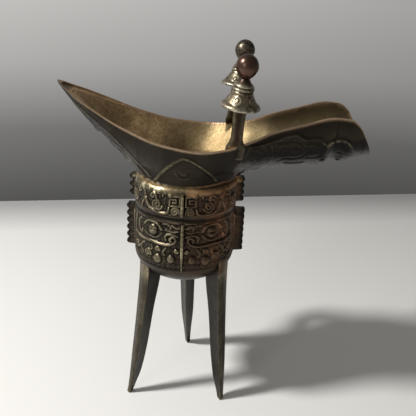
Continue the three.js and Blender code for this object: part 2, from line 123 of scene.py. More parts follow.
# Posts: side, x of the foot, centres of the cap and of the ball
POST_FOOT_Z = 156.5
POSTS = [
    (-1, 26.2, (27.65, 27, 184.9), (29.7, 28.75, 204.8)),
    (1, 22.4, (25.8, 27, 185.3), (28.7, 28.8, 205.3)),
]
POST_HALF = (3.05, 2.3)
POST_INSET = 0.35
POST_FLARE = [(0, 1.35), (4, 1.6), (7, 1.7), (9.4, 1.28), (12, 1.03), (18, 1), (30.5, 1.15)]
POST_ROOT = [(0, 0.45), (7, 1), (30.5, 1)]
# Share of its thickness that the far post has along and across where it runs out into the wall
FAR_POST_FOOT = (0.55, 0.5)

# Caps: radius and height of the lip, the skirt and the small rings under the ball
CAP_LIP = [(0.05, 1), (8, 0.6), (9.2, 0), (9.8, 0), (10.1, 0.5), (9.9, 1.1), (9.4, 1.6)]
CAP_SKIRT = [(9, 2), (8, 2.6), (6.4, 4.8), (5.3, 7), (4.9, 8.4)]
CAP_RINGS = [(5.3, 8.8), (5.5, 9.3), (5.3, 9.8), (4.5, 10.2), (4.8, 10.6), (4.9, 11.1), (4.6, 11.6), (3.5, 12.3)]
CAP_FIGURES = 5
CAP_FIGURE_Z = 4.6
CAP_BORDER_Z = 7.6
BALL_RADIUS = 5.7
BALL_HALF_HEIGHT = 6.2

# Handle: [y, z] path of the strap
HANDLE_HALF_WIDTH = 3.2
HANDLE_HALF_THICKNESS = 2.0
HANDLE_PATH = [(26, 132), (37, 132.5), (44, 127), (45, 114), (41, 103.5), (33, 99.5), (26, 99)]
# Skull, muzzle and ears of the head on it: centre, half sizes and tilt
HANDLE_HEAD = [
    ((0, 38, 134), (5.6, 5.2, 4.8), 0), ((0, 42.6, 131), (4, 3.6, 4.2), 0),
    ((-4.8, 35.5, 138.5), (1.7, 2.4, 3.4), -35), ((4.8, 35.5, 138.5), (1.7, 2.4, 3.4), 35),
]

# Carving of a quarter of the wall: degrees from the ridge and height, then the width and height of the stroke
RIDGE_AZIMUTH = 271.5
UPPER_REGISTER = (124.6, 136.6)
LOWER_REGISTER = (92.5, 120.8)
WALL_STROKES = [
    # jaw with its curl
    ([(63, 108.8), (54.2, 107.8), (46.8, 107.4), (35.6, 107.6), (25.6, 107.2), (16.7, 107.2), (11.2, 107.9),
      (7.2, 109.4), (6.4, 111.2), (9.4, 112.2), (12.9, 111), (12, 109.8)], 1.4, 1.15),
    # lids of the eye
    ([(46, 116.4), (41, 119), (34.5, 119.5), (27, 118.4), (22.6, 115.8)], 1.3, 1.1),
    ([(46, 112), (40, 110.4), (33, 109.9), (26.6, 111.2), (23, 113.4)], 0.9, 0.7),
    # upper lip and the nose
    ([(17.2, 110.2), (18.4, 112), (15.8, 113.4), (10.4, 113.6), (4, 112.8)], 1.1, 0.95),
    ([(10.6, 119), (6.3, 117.7), (2.4, 117.8)], 1.0, 0.8),
    ([(17.8, 116), (13, 115.4), (8.6, 115.2), (4, 115.8)], 0.9, 0.7),
    # brow
    ([(21, 119.3), (16.4, 119.5), (12.4, 118.4), (12, 117)], 1.0, 0.85),
    # horn and ear beside the flange
    ([(52, 119.2), (56.6, 116.4), (56, 112), (51.6, 110.4), (49.8, 112.6)], 1.2, 0.8),
    ([(63.4, 119.4), (66.4, 112), (68.6, 103.4)], 1.0, 0.8),
    ([(74, 119), (78.5, 112), (76, 104), (70, 98.8), (62, 96.4)], 1.4, 0.9),
    # teeth under the jaw
    ([(17.8, 104.9), (20.8, 102.8), (19, 100.8)], 1.1, 0.8),
    ([(46, 105.4), (51, 103.4), (51.6, 100.6), (48, 99)], 1.2, 0.8),
    ([(35.6, 105.2), (34.4, 103.2), (37, 101.8)], 1.0, 0.7),
    # dragon of the upper register: neck, back and wing
    ([(44, 131.8), (42, 129.4), (39.2, 127.4), (34.7, 126.3), (28.6, 125.6), (22, 125.5), (16.6, 126.2),
      (14.6, 128.8)], 1.4, 1.25),
    ([(49.4, 136.6), (45.6, 134.6), (47.4, 130.6), (51, 127.6), (51.6, 125.4)], 1.0, 0.8),
    ([(56.4, 126), (60.4, 129.4), (59.4, 133.4)], 0.9, 0.6),
    ([(60, 125.4), (64.6, 127.4)], 0.9, 0.6),
    ([(74.6, 136), (78, 131), (74.6, 125.6)], 1.1, 0.7),
    ([(81, 136), (84.4, 131), (81, 126)], 1.0, 0.6),
    # frames
    ([(3, 125), (86, 125)], 0.7, 0.5),
    ([(3, 120.5), (86, 120.5)], 0.7, 0.55),
]
# Squared fret: centre in degrees and height, half size
FRETS = [(8.6, 133.1, 2.75), (84, 116, 1.9)]
# Round spirals: centre in degrees and height, radius, turns, and whether it winds back
WALL_SPIRALS = [
    (28.7, 130, 3.3, 1.7, False), (33.6, 134.2, 2.2, 1.05, True), (8, 127.3, 2.5, 1.6, True),
    (67, 130.6, 3.4, 1.8, False), (55.4, 135.4, 1.3, 0.9, False), (40.4, 99.9, 2.2, 1.4, True),
    (60, 102.2, 2.4, 1.3, False), (27.6, 103.6, 1.5, 1.0, True), (5.6, 104.2, 1.2, 0.9, False),
]
EYE_RISE = 2.0
EYE_SLIT = 1.0
WALL_BOSSES = [
    (33.4, 114.7, 3.0, EYE_RISE), (21.7, 135.3, 0.9, 0.8), (13.4, 136.4, 1.7, 1.4), (27.4, 97.9, 2.6, 1.6),
    (11.5, 98.9, 2.3, 1.5),
]
# The back is plainer: besides the two frames it keeps these items of the lists above
BACK_STROKES = 4
BACK_SPIRALS = (0, 3, 5)
BACK_BOSSES = (0, 3, 4)
GROUND_PITCH = 3.1
GROUND_HEIGHT = 0.36

# Carving on each side of the neck, tail and spout: [x, z], width and height of the stroke
NECK_LEAF = [
    (-14.8, 142.2), (-11.3, 147), (-7.5, 151.4), (-3, 155.2), (0.8, 157.4), (5.2, 156.2), (9.4, 153),
    (13.2, 149), (17.2, 142.6),
]
SIDE_STROKES = [
    (NECK_LEAF, 1.1, 0.8),
    # leaf along the tail
    ([(-18.3, 142.8), (-22.4, 147), (-28.6, 153.9), (-34, 160.4), (-39.2, 165.2), (-48.7, 172),
      (-58.6, 178.6)], 0.9, 0.45),
    ([(-22, 141.8), (-26.4, 147), (-33, 155.4), (-39, 161), (-46.4, 165.4), (-55, 173)], 0.9, 0.45),
    ([(-27.4, 144), (-31.6, 149.4), (-37.6, 156), (-43, 160.4), (-49, 166)], 0.9, 0.45),
    # back of the dragon along the spout
    ([(31.3, 157.3), (33.6, 161.6), (34.4, 164), (38, 164.5), (41.5, 165.5), (46.1, 167.2), (50.5, 168.8),
      (54.5, 170.3), (58, 171), (60.5, 169.6), (63.4, 168.4), (67.4, 169.3), (69.6, 169.2), (71.9, 166.9),
      (73.6, 164.6), (74, 160.5)], 0.8, 0.42),
    # its rib and the bars before it
    ([(44.4, 167), (45.6, 162), (45.6, 157), (44.6, 152.4)], 0.9, 0.4),
    ([(34.6, 162.4), (38.6, 160.8), (41.6, 157)], 0.8, 0.35),
    ([(40.2, 164.8), (43.2, 160.6), (45.2, 156.8)], 0.8, 0.35),
    ([(36.6, 157.8), (38.2, 156), (38.6, 154)], 1.1, 0.55),
    ([(29.6, 154), (27.8, 152.8), (28.6, 151)], 0.9, 0.45),
    # head at the mouth
    ([(74.4, 159.6), (74.2, 163.8), (75.2, 166.6), (77.6, 168.2), (80.9, 168.7), (84, 168.1), (86, 166),
      (88, 161.8), (89.6, 157.6)], 1.1, 0.9),
    ([(93.4, 167), (94.4, 161), (95.2, 157.6)], 0.8, 0.25),
]
# Lines cut into the same sides: path, width and depth
SIDE_GROOVES = [
    ([(-2.6, 148.4), (-0.6, 146.2), (2.4, 146.6), (3.4, 149)], 0.8, 0.25),
    ([(49.4, 154.6), (52.6, 157), (57, 156.8), (61.6, 158.2), (64.6, 161.6), (69.6, 161.4)], 0.9, 0.3),
    ([(48.6, 165), (53.4, 166.7), (57.8, 167), (60.6, 165), (60, 162)], 0.9, 0.3),
    ([(64, 166), (67, 166.6), (69.6, 165)], 1.4, 0.45),
    ([(53.6, 153.4), (58, 152.6), (63.6, 153.4)], 1.3, 0.5),
    ([(64, 158), (67.6, 157.4), (70.4, 158.6), (71.4, 162)], 0.9, 0.3),
    ([(79.6, 158.2), (80, 161), (81.6, 161.8), (83, 160.4)], 0.8, 0.3),
]
# Round spirals cut into the sides: centre, radius, turns, and whether it winds back
SIDE_SPIRALS = [(52, 161.2, 2.7, 1.5, False), (57.8, 162.2, 1.7, 1.1, True), (38.4, 148.8, 1.9, 1.2, False)]
# Pits at the lower edge of the spout, with a raised lip: centre, radius and depth
SIDE_PITS = [(73.2, 156.2, 1.4, 0.6), (82.6, 155.4, 1.2, 0.5)]
SIDE_FIGURE_RAISE = 0.4
SIDE_GROUND_PITCH = 3.2
SIDE_GROUND_HEIGHT = 0.13
LEAF_DEPTH = 0.3
SPOUT_BORDER = [
    (30, 157.5), (34.4, 164), (41.5, 165.5), (50.5, 168.8), (58, 171), (63.4, 168.5), (69, 169.3), (74, 167),
    (76, 167.5), (81, 168.8), (85.5, 167), (89.8, 157),
]
TAIL_BORDER = [(-58, 176), (-48.7, 170), (-39.2, 163.4), (-34, 158.4), (-28.6, 152), (-20, 143)]
# Places along X where the tail's figures stand out of its lower edge, and their half lengths
TAIL_STEPS = [(-50, 1.6), (-41.4, 1.5), (-33.8, 1.4)]

# Flat ledge inside the tail's rim, round the deeper channel
TAIL_RIM = 1.2
TAIL_LEDGE_DEPTH = 0.9
TAIL_LEDGE_WIDTH = 2.3
HOLLOW_ABOVE_RIM = 6.0

# Limits between the parts, for their colours
LOWER_PART_TOP_Z = 141.0
CAP_BOTTOM_Z = 183.5
BALL_BOTTOM_Z = 198.4

# Camera solved from the photograph, in millimetres and degrees, and the cup's axis in the frame
CAMERA_PLACE = Vector((24.87, -322.22, 248.41))
CAMERA_AZIMUTH = 2.10
CAMERA_ELEVATION = 21.86
CAMERA_ROLL = 2.77
LENS_PIXELS = 599.8
IMAGE_WIDTH = 416
AXIS_PLACE = Vector((cad_box[0][0] / MM - TAIL_TIP_X, -5.134, 0))

# Far edge of the pale floor, a line through two points
FLOOR_EDGE = ((-215.0, 281.0), (241.0, 383.0))
FLOOR_REACH = 1800.0
FLOOR_PALE = (0.78, 0.775, 0.75, 1)
# Colour of the painted shade along the floor's far edge
FLOOR_EDGE_SHADE = (0.4, 0.4, 0.4, 1)

# Brightness of the room by the height of a direction
ROOM_LOW, ROOM_HIGH = -0.4, 1.0
ROOM_LEVELS = [(-0.36, 0.072), (-0.25, 0.15), (-0.15, 0.34), (-0.04, 0.45), (0.12, 0.28), (1.0, 0.15)]


def through(points):
    """Smooth function through (x, y) points that never overshoots them."""
    xs, ys = np.array(points, float).T
    slopes = np.diff(ys) / np.diff(xs)
    product = slopes[:-1] * slopes[1:]
    total = np.where(product > 0, slopes[:-1] + slopes[1:], 1.0)
    middle = np.where(product > 0, 2 * product / total, 0.0)
    tangents = np.concatenate([slopes[:1], middle, slopes[-1:]])

    def value(x):
        x = np.asarray(x, float)
        i = np.clip(np.searchsorted(xs, x, side="right") - 1, 0, len(xs) - 2)
        span = xs[i + 1] - xs[i]
        t = np.clip((x - xs[i]) / span, 0, 1)
        bend = tangents[i] * t * (1 - t) ** 2 - tangents[i + 1] * t * t * (1 - t)
        return ys[i] * (1 + 2 * t) * (1 - t) ** 2 + ys[i + 1] * t * t * (3 - 2 * t) + span * bend

    return value


def smoothstep(x, low, high):
    t = np.clip((np.asarray(x, float) - low) / (high - low), 0, 1)
    return t * t * (3 - 2 * t)


def between(x, start, full, end, gone):
    """1 from full to end, and fading to 0 at start and at gone."""
    return smoothstep(x, start, full) * (1 - smoothstep(x, end, gone))


rim_z = through(RIM_SIDE)
rim_half = through(RIM_PLAN)


def uncut_z(x):
    return np.where(x > MOUTH_X, UNCUT_SPOUT_Z, rim_z(x))


def foot_z(x, tail, spout):
    return np.where(x < 0, through(tail)(x), through(spout)(x))


def half_width(x, share, radius, height, half):
    """Half width of the section at x and at a share of its height."""
    along = np.minimum(1, np.abs(x) / (radius * (1 + 0.9 * share)))
    neck = radius * (1 - along * along) ** (0.5 + np.minimum(1, 3 * share))
    power = np.clip(FULLNESS * height / half, 1.4, 3)
    beyond = smoothstep(np.abs(x), 0.5 * NECK_RADIUS, 1.6 * NECK_RADIUS)
    curve = (1 - beyond) * share ** 1.35 + beyond * (1 - (1 - share) ** power)
    return neck + (half - neck) * curve


def outer_half(x, z):
    """Outside half width of the neck, tail and spout at x and z."""
    foot = foot_z(x, UNDER_TAIL, UNDER_SPOUT)
    height = uncut_z(x) - foot
    return half_width(x, np.clip((z - foot) / height, 0, 1), NECK_RADIUS, height, rim_half(x))


def curve_points(points, step):
    """Points on a smooth curve through control points, about a step apart."""
    points = np.array(points, float)
    padded = np.vstack([2 * points[0] - points[1], points, 2 * points[-1] - points[-2]])
    length = np.linalg.norm(np.diff(points, axis=0), axis=1).sum()
    spans = np.linspace(0, len(points) - 1, max(4, int(length / step)))
    i = np.minimum(spans.astype(int), len(points) - 2)
    t = (spans - i)[:, None]
    a, b, c, d = padded[i], padded[i + 1], padded[i + 2], padded[i + 3]
    return 0.5 * (2 * b + (c - a) * t + (2 * a - 5 * b + 4 * c - d) * t ** 2 + (3 * b - a - 3 * c + d) * t ** 3)


def spiral_points(u, v, radius, turns, back):
    steps = max(12, int(16 * turns))
    turn = np.linspace(0, 1, steps)
    angle = math.radians(200) + 2 * math.pi * turns * turn * (-1 if back else 1)
    reach = radius * (1 - 0.84 * turn)
    return np.stack([u + reach * np.cos(angle), v + reach * np.sin(angle)], axis=-1)


def fret_points(u, v, half):
    """Squared spiral round (u, v), winding inward."""
    turns = [(1, 1), (-1, 1), (-1, -1), (1, -1), (1, 0.35), (-0.3, 0.35), (-0.3, -0.35), (0.35, -0.35)]
    return np.array([(u + half * a, v + half * b) for a, b in turns])


def distance_to(u, v, path):
    """Distance from every (u, v) to a polyline, looking only near it."""
    far = 3.0
    result = np.full(u.shape, far)
    low, high = path.min(axis=0) - far, path.max(axis=0) + far
    near = (u > low[0]) & (u < high[0]) & (v > low[1]) & (v < high[1])
    pu, pv = u[near], v[near]
    best = np.full(pu.shape, far)
    for (au, av), (bu, bv) in zip(path[:-1], path[1:]):
        du, dv = bu - au, bv - av
        size = max(du * du + dv * dv, 1e-9)
        t = np.clip(((pu - au) * du + (pv - av) * dv) / size, 0, 1)
        best = np.minimum(best, np.hypot(pu - au - t * du, pv - av - t * dv))
    result[near] = best
    return result


def ridge(distance, width, height):
    """Height of a stroke with a rounded back."""
    share = np.clip(distance / (0.5 * width + 0.3), 0, 1)
    return height * (1 - share ** 2.4) ** 0.8


def strokes(u, v, items):
    """Height of strokes (path, width, height) and the distance to the nearest."""
    height = np.zeros(u.shape)
    gap = np.full(u.shape, 3.0)
    for path, width, rise in items:
        distance = distance_to(u, v, path)
        height = np.maximum(height, ridge(distance, width, rise))
        gap = np.minimum(gap, distance - width / 2)
    return height, gap


def ground(u, v, pitch):
    """Small squared spirals side by side, between 0 and 1."""
    column, row = np.floor(u / pitch), np.floor(v / pitch)
    a = 2 * (u / pitch - column) - 1
    b = 2 * (v / pitch - row) - 1
    hand = np.where((column + row) % 2 > 0, 1, -1)
    reach = (np.abs(a) ** 5 + np.abs(b) ** 5) ** 0.2
    turn = np.arctan2(b, a * hand) / (2 * math.pi)
    wave = 0.5 + 0.5 * np.cos(2 * math.pi * (1.5 * reach - turn))
    return wave * smoothstep(1 - reach, 0.0, 0.2)


def wall_relief(azimuth, z):
    """Height of the carving on the cup's wall at azimuths in degrees and heights."""
    from_front = (azimuth - RIDGE_AZIMUTH + 180) % 360 - 180
    back = np.abs(from_front) > 90
    degrees = np.where(back, 180 - np.abs(from_front), np.abs(from_front))
    to_arc = math.radians(1) * CUP_RADIUS
    arc = degrees * to_arc

    def unrolled(paths, frets, spirals, bosses):
        items = [(curve_points([(d * to_arc, h) for d, h in path], 0.8), width, rise) for path, width, rise in paths]
        for d, h, radius, turns, winds_back in spirals:
            items.append((spiral_points(d * to_arc, h, radius, turns, winds_back), 1.0 + 0.07 * radius, 1.1))
        items += [(fret_points(d * to_arc, h, half), 1.0, 0.9) for d, h, half in frets]
        height, gap = strokes(arc, z, items)
        for d, h, radius, rise in bosses:
            distance = np.hypot(arc - d * to_arc, (z - h) * 0.88)
            slit = EYE_SLIT * (rise == EYE_RISE) * np.exp(-((z - h - 0.2) / 0.5) ** 2)
            height = np.maximum(height, (rise - slit) * np.sqrt(np.clip(1 - (distance / radius) ** 2, 0, 1)))
            gap = np.minimum(gap, distance - radius)
        return height, gap

    front_height, front_gap = unrolled(WALL_STROKES, FRETS, WALL_SPIRALS, WALL_BOSSES)
    plain_height, plain_gap = unrolled(
        WALL_STROKES[:BACK_STROKES] + WALL_STROKES[-2:], [],
        [WALL_SPIRALS[i] for i in BACK_SPIRALS], [WALL_BOSSES[i] for i in BACK_BOSSES])
    height = np.where(back, plain_height, front_height)
    gap = np.where(back, plain_gap, front_gap)
    in_register = np.zeros(z.shape)
    for low, high in (UPPER_REGISTER, LOWER_REGISTER):
        in_register = np.maximum(in_register, between(z, low - 0.3, low + 0.3, high - 0.3, high + 0.3))
    leiwen = GROUND_HEIGHT * ground(arc + 0.4, z, GROUND_PITCH) * smoothstep(gap, 0.15, 0.7)
    sunk = 1 - smoothstep(np.abs(z - BAND_Z), BAND_HALF_HEIGHT - 0.6, BAND_HALF_HEIGHT)
    return in_register * (np.maximum(height, leiwen) - 0.3) - BAND_DEPTH * sunk


def side_relief(x, z):
    """Height of the carving on the outside of the neck, tail and spout."""
    height, gap = strokes(x, z, [(curve_points(path, 0.8), width, rise) for path, width, rise in SIDE_STROKES])
    cuts = [(curve_points(path, 0.8), width, depth) for path, width, depth in SIDE_GROOVES]
    cuts += [(spiral_points(*place), 0.8, 0.3) for place in SIDE_SPIRALS]
    depth, cut_gap = strokes(x, z, cuts)
    leiwen = SIDE_GROUND_HEIGHT * ground(x, z, SIDE_GROUND_PITCH) * smoothstep(np.minimum(gap, cut_gap), 0.2, 0.7)
    above_spout_border, above_leaf, above_tail_border = (
        z - through(edge)(x) for edge in (SPOUT_BORDER, NECK_LEAF, TAIL_BORDER))
    on_spout = between(x, 31, 33, 88, 89.6) * (1 - smoothstep(above_spout_border, -0.3, 0.3))
    in_leaf = between(x, -14, -12.5, 14.5, 16.5) * (1 - smoothstep(above_leaf, -0.9, -0.3))
    on_tail = between(-x, 21, 24, 54, 58) * (1 - smoothstep(above_tail_border, -0.5, 0))
    relief = height - depth + on_spout * (SIDE_FIGURE_RAISE + leiwen) - LEAF_DEPTH * in_leaf + on_tail * 2 * leiwen
    for px, pz, radius, deep in SIDE_PITS:
        distance = np.hypot(x - px, z - pz)
        raised_lip = 0.4 * np.exp(-((distance - radius - 0.5) / 0.5) ** 2)
        relief = relief + raised_lip - deep * (1 - smoothstep(distance, radius - 0.5, radius))
    keel = z - foot_z(x, UNDER_TAIL, UNDER_SPOUT)
    for step_x, reach in TAIL_STEPS:
        relief = relief + 0.9 * np.exp(-((x - step_x) / reach) ** 2) * (1 - smoothstep(keel, 1.5, 5))
    return relief * smoothstep(z, LEDGE_Z + 0.2, LEDGE_Z + 1.5)


def mesh_object(name, vertices, faces):
    """Object from millimetre points in the cup's own frame."""
    mesh = bpy.data.meshes.new(name)
    mesh.from_pydata((np.asarray(vertices) + np.array(AXIS_PLACE)) * MM, [], faces)
    bm = bmesh.new()
    bm.from_mesh(mesh)
    bmesh.ops.remove_doubles(bm, verts=bm.verts, dist=2e-7)
    bmesh.ops.triangulate(bm, faces=[face for face in bm.faces if len(face.verts) > 4])
    bmesh.ops.recalc_face_normals(bm, faces=bm.faces)
    if bm.calc_volume(signed=True) < 0:
        bmesh.ops.reverse_faces(bm, faces=bm.faces)
    bm.to_mesh(mesh)
    bm.free()
    made = bpy.data.objects.new(name, mesh)
    bpy.context.scene.collection.objects.link(made)
    return made


def loft(name, rings):
    """Closed skin over an array of rings of points, with flat ends."""
    rings = np.asarray(rings, float)
    rows, count = rings.shape[:2]
    index = np.arange(rows * count).reshape(rows, count)
    after = np.roll(index, -1, axis=1)
    quads = np.stack([index[:-1], after[:-1], after[1:], index[1:]], axis=-1).reshape(-1, 4)
    faces = [tuple(quad) for quad in quads.tolist()]
    faces.append(tuple(index[0][::-1].tolist()))
    faces.append(tuple(index[-1].tolist()))
    return mesh_object(name, rings.reshape(-1, 3), faces)


def combine(base, other, operation):
    """Boolean of two closed solids; the second one is used up."""
    step = base.modifiers.new("step", "BOOLEAN")
    step.solver = "MANIFOLD"
    step.operation = operation
    step.object = other
    graph = bpy.context.evaluated_depsgraph_get()
    mesh = bpy.data.meshes.new_from_object(base.evaluated_get(graph))
    base.modifiers.clear()
    base.data = mesh
    bpy.data.objects.remove(other)
    return base


def wall_grid(x, radius, seat, tail, spout, half, top, steps):
    """Seat points and side points, from foot to top, of the sections at every x."""
    foot = foot_z(x, tail, spout)
    height = uncut_z(x) - foot
    share = ((top - foot) / height)[:, None] * np.linspace(0, 1, steps + 1)[None, :] ** 1.4
    y = half_width(x[:, None], share, radius, height[:, None], half[:, None])
    z = foot[:, None] + height[:, None] * share
    grid = np.stack([np.broadcast_to(x[:, None], y.shape), y, z], axis=-1)
    seat_z = np.where(np.abs(x) < radius, seat, foot)
    return np.stack([x, y[:, 0], seat_z], axis=-1)[:, None, :], grid


def both_sides(side):
    far = side[:, ::-1].copy()
    far[..., 1] *= -1
    return np.concatenate([side, far], axis=1)


def stations(tail_x, spout_x, radius, step):
    """Places along X, closer together where the round neck ends."""
    turn = radius * np.sin(np.linspace(-math.pi / 2, math.pi / 2, int(3.3 * radius / step)))
    tail = np.linspace(tail_x, -radius, int((-radius - tail_x) / step))[:-1]
    spout = np.linspace(radius, spout_x, int((spout_x - radius) / (0.75 * step)))[1:]
    return np.concatenate([tail, turn, spout])


def upper_form():
    x = stations(TAIL_TIP_X, SPOUT_TIP_X, NECK_RADIUS, 0.9)
    seat, grid = wall_grid(x, NECK_RADIUS, NECK_SEAT_Z, UNDER_TAIL, UNDER_SPOUT, rim_half(x), rim_z(x), 50)
    normal = np.cross(np.gradient(grid, axis=1), np.gradient(grid, axis=0))
    normal /= np.maximum(np.linalg.norm(normal, axis=-1, keepdims=True), 1e-9)
    normal[normal[..., 1] < 0] *= -1
    relief = side_relief(grid[..., 0], grid[..., 2])
    inward = smoothstep(rim_z(x)[:, None] - grid[..., 2], 0.6, 2.0)
    grid = grid + normal * (relief * inward)[..., None]
    grid[..., 1] = np.maximum(grid[..., 1], 0.0)
    keel = np.abs(x) >= NECK_RADIUS
    seat[keel, 0] = grid[keel, 0]
    return loft("upper", both_sides(np.concatenate([seat, grid], axis=1)))


def upper_hollow():
    radius = NECK_RADIUS - CUP_WALL
    x = stations(TAIL_TIP_X + 8, SPOUT_TIP_X + 2, radius, 1.5)
    inset = LIP + TAIL_LEDGE_WIDTH * smoothstep(-x, 30, 50)
    half = np.maximum(0.6, rim_half(x) - inset)
    seat, grid = wall_grid(x, radius, NECK_SEAT_Z - 2, TAIL_FLOOR, SPOUT_FLOOR, half, uncut_z(x), 22)
    above = grid[:, -1:].copy()
    above[..., 2] += HOLLOW_ABOVE_RIM
    return loft("upper_hollow", both_sides(np.concatenate([seat, grid, above], axis=1)))


def tail_ledge():
    """Shallow hollow between the tail's rim and its channel."""
    x = np.linspace(TAIL_TIP_X + 2.2, -28, 44)
    half = np.maximum(0.4, rim_half(x) - TAIL_RIM)
    depth = TAIL_LEDGE_DEPTH * (1 - smoothstep(x, -46, -28)) + 0.02
    z = rim_z(x)
    bottom, top = z - depth, z + HOLLOW_ABOVE_RIM
    ring = [(half, bottom), (half, top), (-half, top), (-half, bottom)]
    return loft("tail_ledge", np.stack([np.stack([x, y, height], axis=-1) for y, height in ring], axis=1))


def lathe_rings(profile, angles):
    """Rings about the cup's axis from (radius, z) points."""
    profile = np.array(profile, float)
    radius, z = profile[:, 0], profile[:, 1]
    x = radius[:, None] * np.cos(angles)[None, :]
    y = radius[:, None] * np.sin(angles)[None, :]
    return np.stack([x, y, np.broadcast_to(z[:, None], x.shape)], axis=-1)


def bowl_profile(offset, steps):
    radius = CUP_RADIUS - offset
    bottom = BOWL_BOTTOM_Z + offset
    turns = np.linspace(0.02, math.pi / 2, steps)
    z = BOWL_SHOULDER_Z - (BOWL_SHOULDER_Z - bottom) * np.cos(turns)
    return list(zip(radius * np.sin(turns), z))


def cup_form():
    back = np.radians(np.linspace(0, 180, 96, endpoint=False))
    front = np.radians(np.linspace(180, 360, 256, endpoint=False))
    angles = np.concatenate([back, front])
    bowl = [point for point in bowl_profile(0, 22) if point[1] < LOWER_REGISTER[0] - 1]
    carved = np.linspace(LOWER_REGISTER[0] - 1, SHOULDER_Z, 106)
    radius, height = np.array(bowl_profile(0, 200)).T
    radii = np.where(carved < BOWL_SHOULDER_Z, np.interp(carved, height, radius), CUP_RADIUS)
    ledge = [(CUP_RADIUS - inward, SHOULDER_Z + up) for inward, up in SHOULDER_EDGE]
    ledge += [(NECK_RADIUS + 0.4, LEDGE_Z - 0.15), (NECK_RADIUS - 0.6, LEDGE_Z)]
    rings = lathe_rings(bowl + list(zip(radii, carved)) + ledge, angles)
    azimuth = np.broadcast_to(np.degrees(angles)[None, :], rings.shape[:2])
    relief = wall_relief(azimuth, rings[..., 2])
    rings[..., :2] *= (1 + relief / np.hypot(rings[..., 0], rings[..., 1]))[..., None]
    return loft("cup", rings)


def cup_hollow():
    angles = np.linspace(0, 2 * math.pi, 96, endpoint=False)
    radius = CUP_RADIUS - CUP_WALL
    wall = [(radius, SHOULDER_Z - 3), (NECK_RADIUS - CUP_WALL - 0.4, SHOULDER_Z + 1)]
    return loft("cup_hollow", lathe_rings(bowl_profile(CUP_WALL, 16) + wall, angles))


def leg(azimuth, splay, turn, foot_shift, top_shift, breadth):
    out, half, depth = through(LEG_OUT), through(LEG_HALF_WIDTH), through(LEG_DEPTH)
    place = Matrix.Rotation(math.radians(azimuth), 3, "Z")
    twist = Matrix.Rotation(math.radians(turn), 3, "Z")
    rings = []
    for z in LEG_TOP_Z * np.linspace(0, 1, 44) ** 1.2:
        deep = float(depth(z))
        wide = float(half(z)) * (1 + (breadth - 1) * float(smoothstep(z, 4, 30)))
        middle = float(out(z)) - deep / 2 + splay * (1 - z / LEG_TOP_Z)
        shift = Vector((foot_shift + (top_shift - foot_shift) * (z / LEG_TOP_Z) ** 0.6, 0, 0))
        front = deep / 2
        side = [
            (front, wide - 0.5), (front - 0.4, wide - 0.1), (front - 1, wide - 0.5),
            (-front + 0.9, 0.55), (-front, 0.2),
        ]
        corners = side + [(x, -y) for x, y in reversed(side)]
        rings.append([place @ (twist @ Vector((x, y, 0)) + Vector((middle, 0, z))) + shift for x, y in corners])
    return loft("leg", rings)


def flange(azimuth, bottom, top, reach, scallops, notch, thickness, taper):
    z = np.linspace(bottom, top, max(12 * scallops, 60) + 1)
    phase = (z - bottom) / (top - bottom) * scallops
    foot = 1 - smoothstep(z, bottom, bottom + taper)
    edge = reach - notch * np.abs(np.cos(math.pi * phase)) ** 3 - (reach - CUP_RADIUS - 0.2) * foot ** 2
    turn = np.array(Matrix.Rotation(math.radians(azimuth), 3, "Z"))
    half = thickness / 2 * (1 - 0.5 * foot)
    edge_cut = FLANGE_EDGE_CUT * thickness
    rings = []
    for height, out, side in zip(z, edge, half):
        outline = [
            (FLANGE_ROOT, -side), (out - edge_cut, -side), (out, -side + edge_cut),
            (out, side - edge_cut), (out - edge_cut, side), (FLANGE_ROOT, side),
        ]
        rings.append([turn @ np.array([x, y, height]) for x, y in outline])
    return loft("flange", rings)


def cap_profile(ball_height):
    """Points (radius, height) of a cap and the ball on it, whose lower half is a little narrower."""
    radii, heights = np.array(CAP_SKIRT).T
    rise = np.linspace(heights[0], heights[-1], 14)
    skirt = list(zip(np.interp(rise, heights, radii), rise))
    sphere = []
    for angle in np.linspace(-0.37, 0.49, 26) * math.pi:
        taper = 1 + 0.18 * math.sin(angle) if angle < 0 else 1
        sphere.append((BALL_RADIUS * math.cos(angle) * taper, ball_height + BALL_HALF_HEIGHT * math.sin(angle)))
    return CAP_LIP + skirt + CAP_RINGS + sphere


def cap_relief(angle, height):
    """Rings with a dot round the skirt, below a thin border."""
    mean_radius = 7
    share = 2 * math.pi / CAP_FIGURES
    arc = (angle % share - share / 2) * mean_radius
    distance = np.hypot(arc, (height - CAP_FIGURE_Z) * 1.15)
    dot = 0.45 * np.sqrt(np.clip(1 - (distance / 0.9) ** 2, 0, 1))
    figure = np.maximum(ridge(np.abs(distance - 1.9), 0.5, 0.4), dot)
    border = ridge(np.abs(height - CAP_BORDER_Z), 0.3, 0.25)
    return np.maximum(figure, border) * between(height, 1.7, 2.4, 7.9, 8.4)


